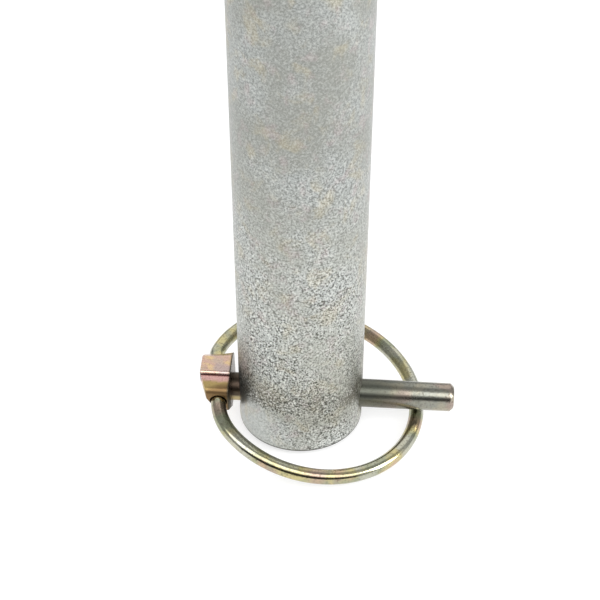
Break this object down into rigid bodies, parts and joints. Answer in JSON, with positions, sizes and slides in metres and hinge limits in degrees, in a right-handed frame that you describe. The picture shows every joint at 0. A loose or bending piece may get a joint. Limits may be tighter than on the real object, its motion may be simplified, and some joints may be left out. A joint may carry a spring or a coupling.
{
  "type": "hitch pin lock",
  "caption": "Round towing hitch pin with a collar and swing handle, kept in its hole by a cross linch pin with a sprung snap ring.",
  "frame": {"origin": "on the shaft's centre line, level with the seat of the collar, where the usable length begins", "axes": "+Z along the shaft towards the collar and handle, +X along the linch pin towards its tip, +Y towards the folded handle"},
  "size_m": [0.0555, 0.0781, 0.1487],
  "materials": {
    "zinc_steel": "dull cold-grey zinc over turned steel, fine mottled grain",
    "weld_bead": "zinc coated weld bead, slightly rough",
    "yellow_chromate": "yellow chromated zinc with pink, green and brown tints"
  },
  "bodies": {
    "hitch_pin": {"pin_shaft": "zinc_steel", "stop_collar": "zinc_steel", "collar_weld": "weld_bead"},
    "handle": {"swing_handle": "zinc_steel"},
    "linch_body": {"linch_pin": "yellow_chromate"},
    "snap_ring": {"linch_ring": "yellow_chromate"}
  },
  "joints": [
    {"name": "handle_swing", "type": "hinge", "parent": "hitch_pin", "child": "handle", "pos_m": [0, 0, 0.0127], "axis": [1, 0, 0], "range_deg": [0, 180]},
    {"name": "linch_slide", "type": "slide", "parent": "hitch_pin", "child": "linch_body", "axis": [-1, 0, 0], "range_m": [0, 0.07]},
    {"name": "ring_flip", "type": "hinge", "parent": "linch_body", "child": "snap_ring", "pos_m": [-0.01715, -0.00057, -0.11624], "axis": [-0.1478, 0.9776, 0.1496], "range_deg": [0, 180], "stiffness_Nm_per_rad": 0.002, "springref_deg": -28.65}
  ],
  "couplings": [
    {"joint": "linch_slide", "follows": "ring_flip", "m_per_rad": 0.02228}
  ]
}
